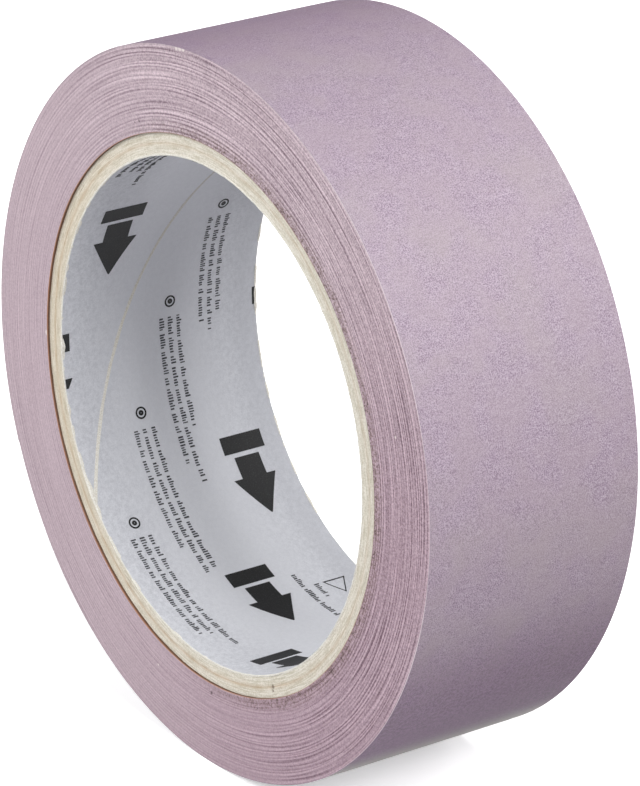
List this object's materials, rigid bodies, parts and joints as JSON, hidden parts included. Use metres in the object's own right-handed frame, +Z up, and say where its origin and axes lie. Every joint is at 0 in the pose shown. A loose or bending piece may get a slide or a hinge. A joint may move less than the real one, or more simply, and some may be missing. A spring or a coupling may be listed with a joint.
{
  "type": "masking tape roll",
  "caption": "Roll of paper masking tape on a spirally wound cardboard core, with a free end that peels back.",
  "frame": {"origin": "middle of the core's bore, half way across the tape's width", "axes": "+Y along the roll's axis, from its front side face to its back one; +Z up, with the roll standing on its rim; +X to the right as seen from the front"},
  "size_m": [0.1087, 0.036, 0.1087],
  "materials": {
    "tape": "matte",
    "core_board": "matte",
    "liner": "matte"
  },
  "bodies": {
    "roll": {"core_liner": "liner", "core_ply_1": "core_board", "core_ply_2": "core_board", "core_ply_3": "core_board", "core_ply_4": "core_board", "tape_pack": "tape"},
    "tape_end_1": {"tape_end_1": "tape"},
    "tape_end_2": {"tape_end_2": "tape"},
    "tape_end_3": {"tape_end_3": "tape"},
    "tape_end_4": {"tape_end_4": "tape"},
    "tape_end_5": {"tape_end_5": "tape"},
    "tape_end_6": {"tape_end_6": "tape"},
    "tape_end_7": {"tape_end_7": "tape"},
    "tape_end_8": {"tape_end_8": "tape"},
    "tape_end_9": {"tape_end_9": "tape"}
  },
  "joints": [
    {"name": "peel", "type": "hinge", "parent": "roll", "child": "tape_end_1", "pos_m": [-0.02084, 0, 0.05031], "axis": [0, 1, 0], "range_deg": [0, 165]},
    {"name": "curl_2", "type": "hinge", "parent": "tape_end_1", "child": "tape_end_2", "pos_m": [-0.02926, 0, 0.04592], "axis": [0, 1, 0], "range_deg": [0, 24]},
    {"name": "curl_3", "type": "hinge", "parent": "tape_end_2", "child": "tape_end_3", "pos_m": [-0.03679, 0, 0.04014], "axis": [0, 1, 0], "range_deg": [0, 24]},
    {"name": "curl_4", "type": "hinge", "parent": "tape_end_3", "child": "tape_end_4", "pos_m": [-0.0432, 0, 0.03315], "axis": [0, 1, 0], "range_deg": [0, 24]},
    {"name": "curl_5", "type": "hinge", "parent": "tape_end_4", "child": "tape_end_5", "pos_m": [-0.0483, 0, 0.02514], "axis": [0, 1, 0], "range_deg": [0, 24]},
    {"name": "curl_6", "type": "hinge", "parent": "tape_end_5", "child": "tape_end_6", "pos_m": [-0.05193, 0, 0.01637], "axis": [0, 1, 0], "range_deg": [0, 24]},
    {"name": "curl_7", "type": "hinge", "parent": "tape_end_6", "child": "tape_end_7", "pos_m": [-0.05398, 0, 0.00711], "axis": [0, 1, 0], "range_deg": [0, 24]},
    {"name": "curl_8", "type": "hinge", "parent": "tape_end_7", "child": "tape_end_8", "pos_m": [-0.0544, 0, -0.00238], "axis": [0, 1, 0], "range_deg": [0, 24]},
    {"name": "curl_9", "type": "hinge", "parent": "tape_end_8", "child": "tape_end_9", "pos_m": [-0.05316, 0, -0.01179], "axis": [0, 1, 0], "range_deg": [0, 24]}
  ],
  "couplings": [
    {"joint": "curl_2", "follows": "peel", "ratio": 0.145},
    {"joint": "curl_3", "follows": "peel", "ratio": 0.145},
    {"joint": "curl_4", "follows": "peel", "ratio": 0.145},
    {"joint": "curl_5", "follows": "peel", "ratio": 0.145},
    {"joint": "curl_6", "follows": "peel", "ratio": 0.145},
    {"joint": "curl_7", "follows": "peel", "ratio": 0.145},
    {"joint": "curl_8", "follows": "peel", "ratio": 0.145},
    {"joint": "curl_9", "follows": "peel", "ratio": 0.145}
  ]
}
